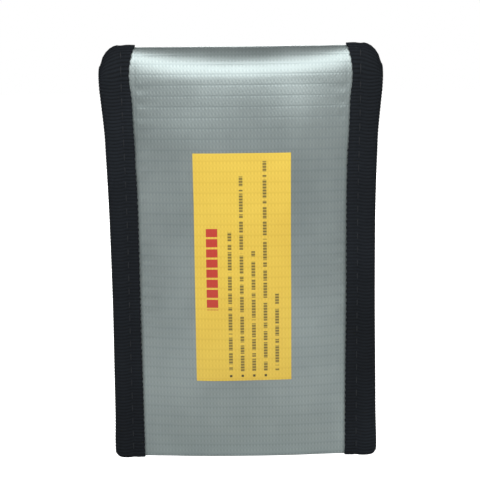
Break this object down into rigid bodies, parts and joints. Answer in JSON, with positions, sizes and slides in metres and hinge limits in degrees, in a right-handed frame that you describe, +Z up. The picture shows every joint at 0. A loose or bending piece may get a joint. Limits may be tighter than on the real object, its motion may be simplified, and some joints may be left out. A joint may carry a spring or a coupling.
{
  "type": "lipo safe bag",
  "caption": "Flat fire-resistant battery pouch of silver coated cloth, side edges bound in black tape, with a fold-over flap closed by hook and loop.",
  "frame": {"origin": "on the flat folded bottom, midway across the bag and in the plane of its side seams", "axes": "+Z up from the bottom fold to the top fold, +X across the bag, +Y towards the flap; the patch is on the -Y face"},
  "size_m": [0.108, 0.022, 0.1705],
  "materials": {
    "silver_cloth": "silver-coated glass-fibre cloth, woven, satin sheen",
    "lining_cloth": "off-white plain glass-fibre cloth, matte",
    "ribbed_tape": "black polyester grosgrain binding tape, ribbed across, matte",
    "loop_tape": "black brushed loop tape, fuzzy",
    "hook_tape": "black nylon hook tape, bristly",
    "black_thread": "black polyester sewing thread",
    "yellow_film": "thin heat-pressed yellow film, satin, the weave showing through"
  },
  "bodies": {
    "pouch": {"outer_cloth": "silver_cloth", "inner_lining": "lining_cloth", "mouth_hem": "silver_cloth", "mouth_hem_stitching": "black_thread", "left_side_binding": "ribbed_tape", "right_side_binding": "ribbed_tape", "left_side_stitching": "black_thread", "right_side_stitching": "black_thread", "loop_strip": "loop_tape", "loop_strip_stitching": "black_thread", "yellow_patch": "yellow_film"},
    "top_fold": {"top_fold_cloth": "silver_cloth", "top_fold_lining": "lining_cloth", "left_fold_binding": "ribbed_tape", "right_fold_binding": "ribbed_tape", "left_fold_stitching": "black_thread", "right_fold_stitching": "black_thread"},
    "flap": {"flap_cloth": "silver_cloth", "flap_lining": "lining_cloth", "flap_hem": "silver_cloth", "flap_hem_stitching": "black_thread", "left_flap_binding": "ribbed_tape", "right_flap_binding": "ribbed_tape", "left_flap_stitching": "black_thread", "right_flap_stitching": "black_thread", "hook_strip": "hook_tape", "hook_strip_stitching": "black_thread"}
  },
  "joints": [
    {"name": "flap_lift", "type": "hinge", "parent": "pouch", "child": "top_fold", "pos_m": [0, -0.0065, 0.1561], "axis": [1, 0, 0], "range_deg": [0, 120]},
    {"name": "flap_unroll", "type": "hinge", "parent": "top_fold", "child": "flap", "pos_m": [0, 0.011, 0.1561], "axis": [1, 0, 0], "range_deg": [0, 90]}
  ]
}
